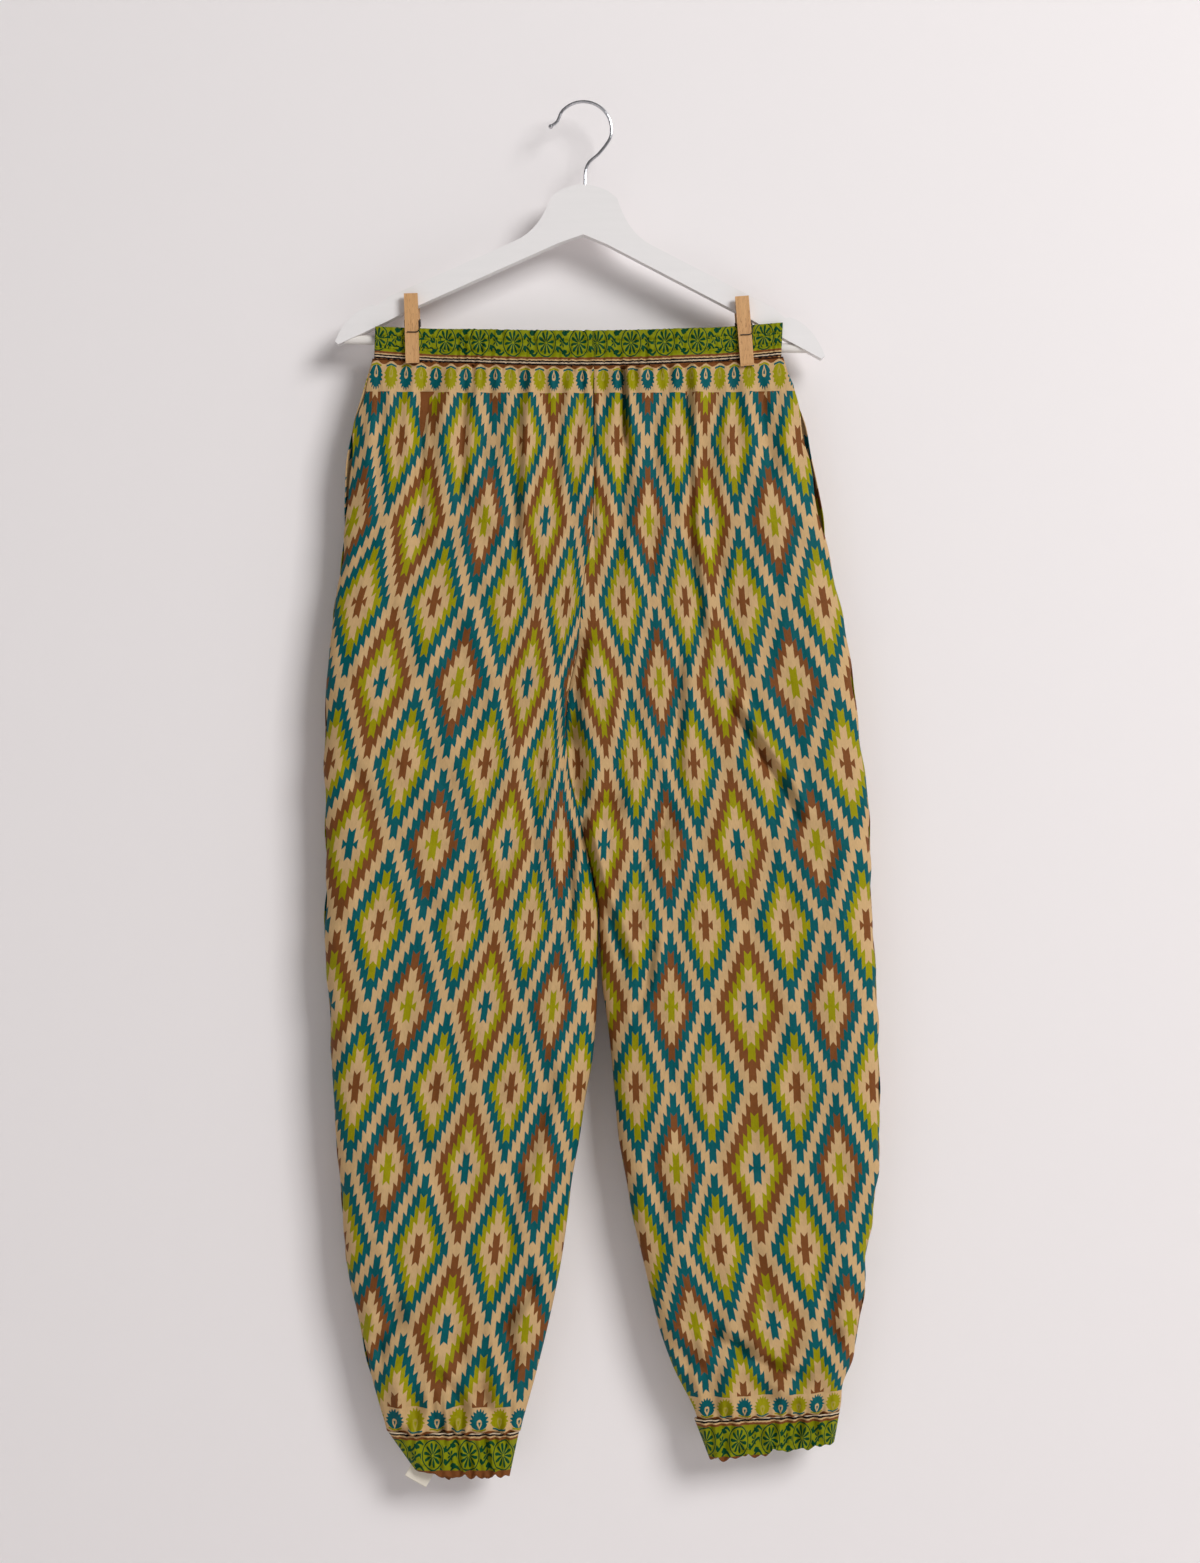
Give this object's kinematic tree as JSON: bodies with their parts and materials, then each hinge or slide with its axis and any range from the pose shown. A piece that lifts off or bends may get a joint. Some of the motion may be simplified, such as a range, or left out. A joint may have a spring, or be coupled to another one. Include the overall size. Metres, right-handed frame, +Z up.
{
  "type": "joggers hung on a trouser hanger",
  "caption": "Wide gathered printed joggers with elastic waist and ankle casings and side pockets, hung flat by wooden pegs from a trouser hanger with a hook.",
  "frame": {"origin": "the hook's resting point, under the top of its curve, where a rail carries it", "axes": "+Z up along the hung length, +Y from the front of the garment to its back, +X to the right seen from the front"},
  "size_m": [0.501, 0.0382, 1.2534],
  "materials": {
    "printed_cloth": "soft printed crepe, stepped diamonds",
    "border_cloth": "soft printed crepe, finely gathered floral border",
    "pocket_cloth": "plain crepe",
    "label_cloth": "plain woven tape",
    "white_paint": "white satin paint",
    "bar_paint": "white satin paint",
    "hook_chrome": "polished",
    "beech": "bare, fine grain",
    "spring_steel": "dull wire"
  },
  "bodies": {
    "root": {"front_panel_left": "printed_cloth", "front_panel_right": "printed_cloth", "back_panel_left": "printed_cloth", "back_panel_right": "printed_cloth", "waist_casing": "border_cloth", "cuff_casing_left": "border_cloth", "cuff_casing_right": "border_cloth", "pocket_bag_left": "pocket_cloth", "pocket_bag_right": "pocket_cloth", "blank_label": "label_cloth", "hanger_wood": "white_paint", "hanger_bar": "bar_paint", "hanger_hook": "hook_chrome", "peg_front_leg_left": "beech", "peg_back_leg_left": "beech", "peg_spring_left": "spring_steel", "peg_front_leg_right": "beech", "peg_back_leg_right": "beech", "peg_spring_right": "spring_steel"}
  },
  "joints": []
}
